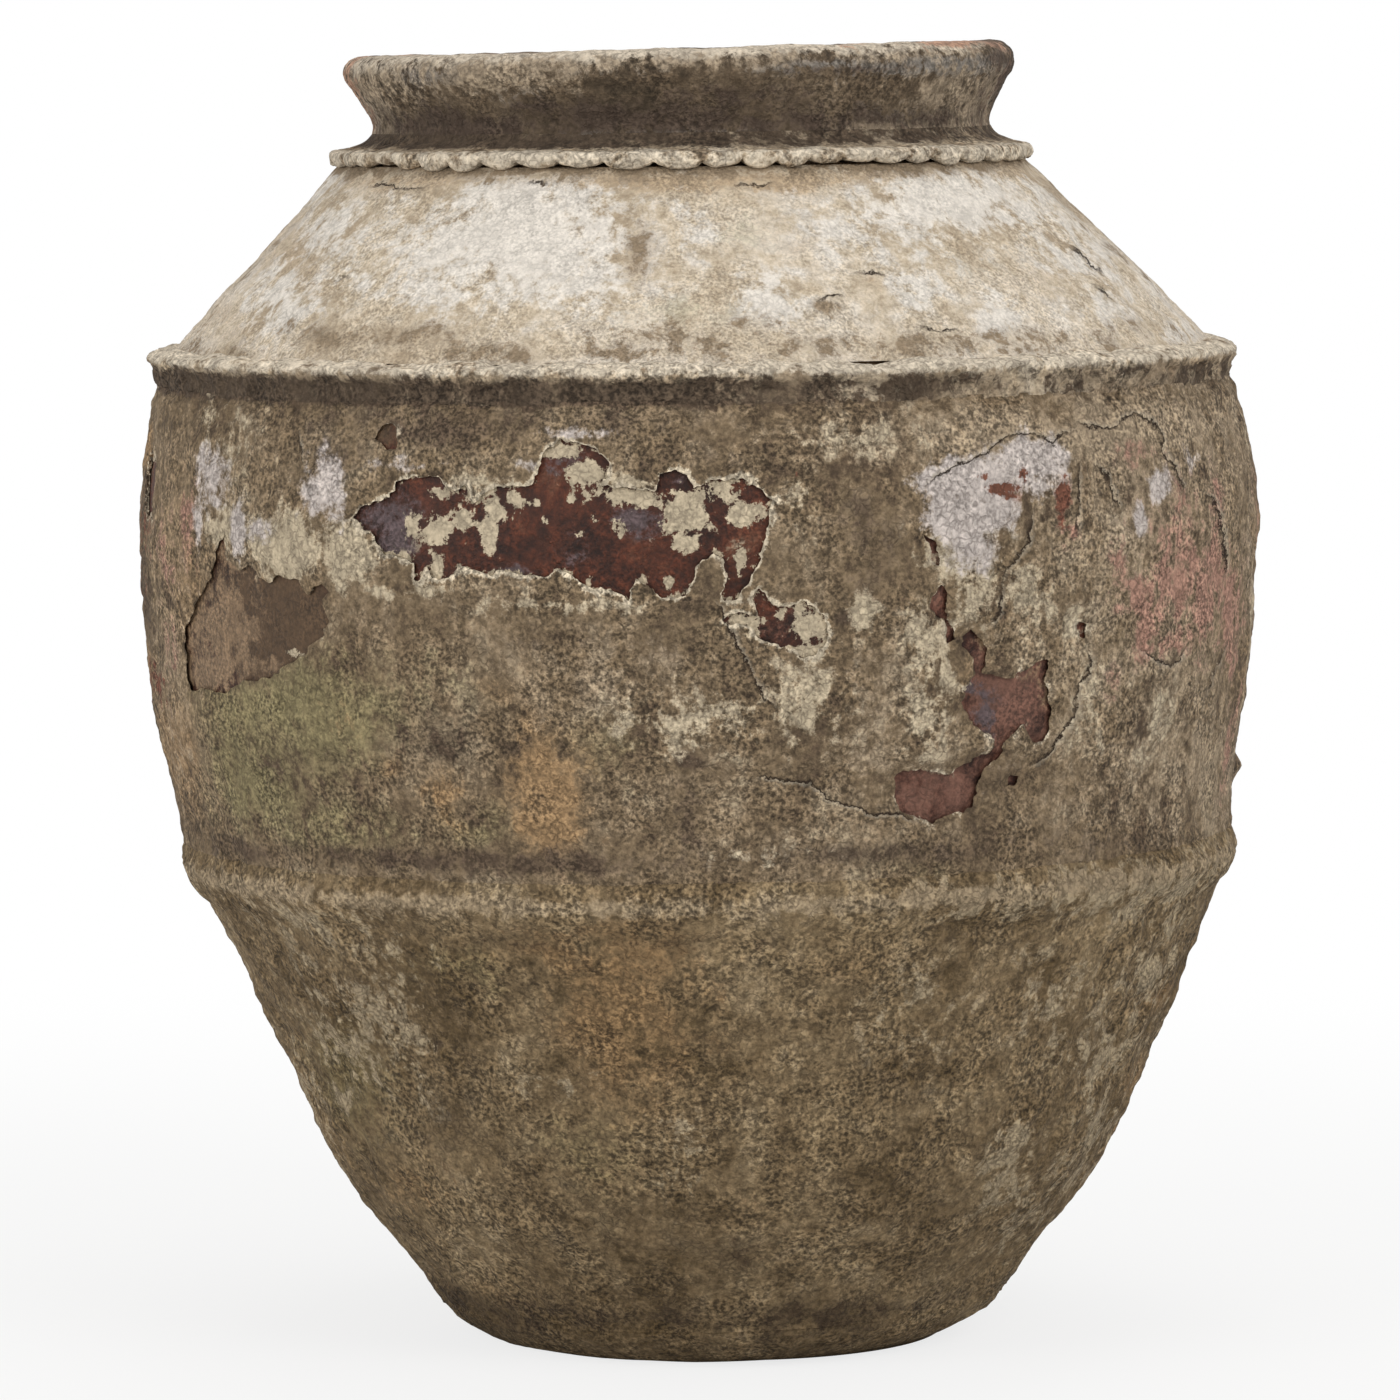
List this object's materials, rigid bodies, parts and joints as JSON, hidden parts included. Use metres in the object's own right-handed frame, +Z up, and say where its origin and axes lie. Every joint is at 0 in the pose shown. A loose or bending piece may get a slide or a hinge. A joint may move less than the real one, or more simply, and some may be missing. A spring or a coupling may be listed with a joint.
{
  "type": "storage jar",
  "caption": "Large coil-built clay jar for olives or oil, with two straps, a frilled collar, a rolled rim and a flaking lime coat. It stands free on a level foot.",
  "frame": {"origin": "middle of the level foot that the jar stands on", "axes": "+Z up, from the foot towards the rim; the jar's own axis leans 1.6 degrees from +Z towards -X; -Y is the side with the flaked coat"},
  "size_m": [0.8045, 0.8043, 0.931],
  "materials": {
    "clay": "matte",
    "belly_clay": "satin",
    "neck_clay": "matte",
    "strap_clay": "matte",
    "earth_coat": "matte",
    "belly_coat": "matte",
    "lime_coat": "matte",
    "glaze": "gloss"
  },
  "bodies": {
    "root": {"foot_slab": "clay", "lower_wall": "clay", "belly_wall": "belly_clay", "shoulder_wall": "clay", "neck_collar": "neck_clay", "rim_roll": "neck_clay", "lower_strap": "strap_clay", "shoulder_strap": "strap_clay", "collar_frill": "strap_clay", "lower_coat": "earth_coat", "belly_coat": "belly_coat", "shoulder_coat": "lime_coat", "inner_glaze": "glaze"}
  },
  "joints": []
}
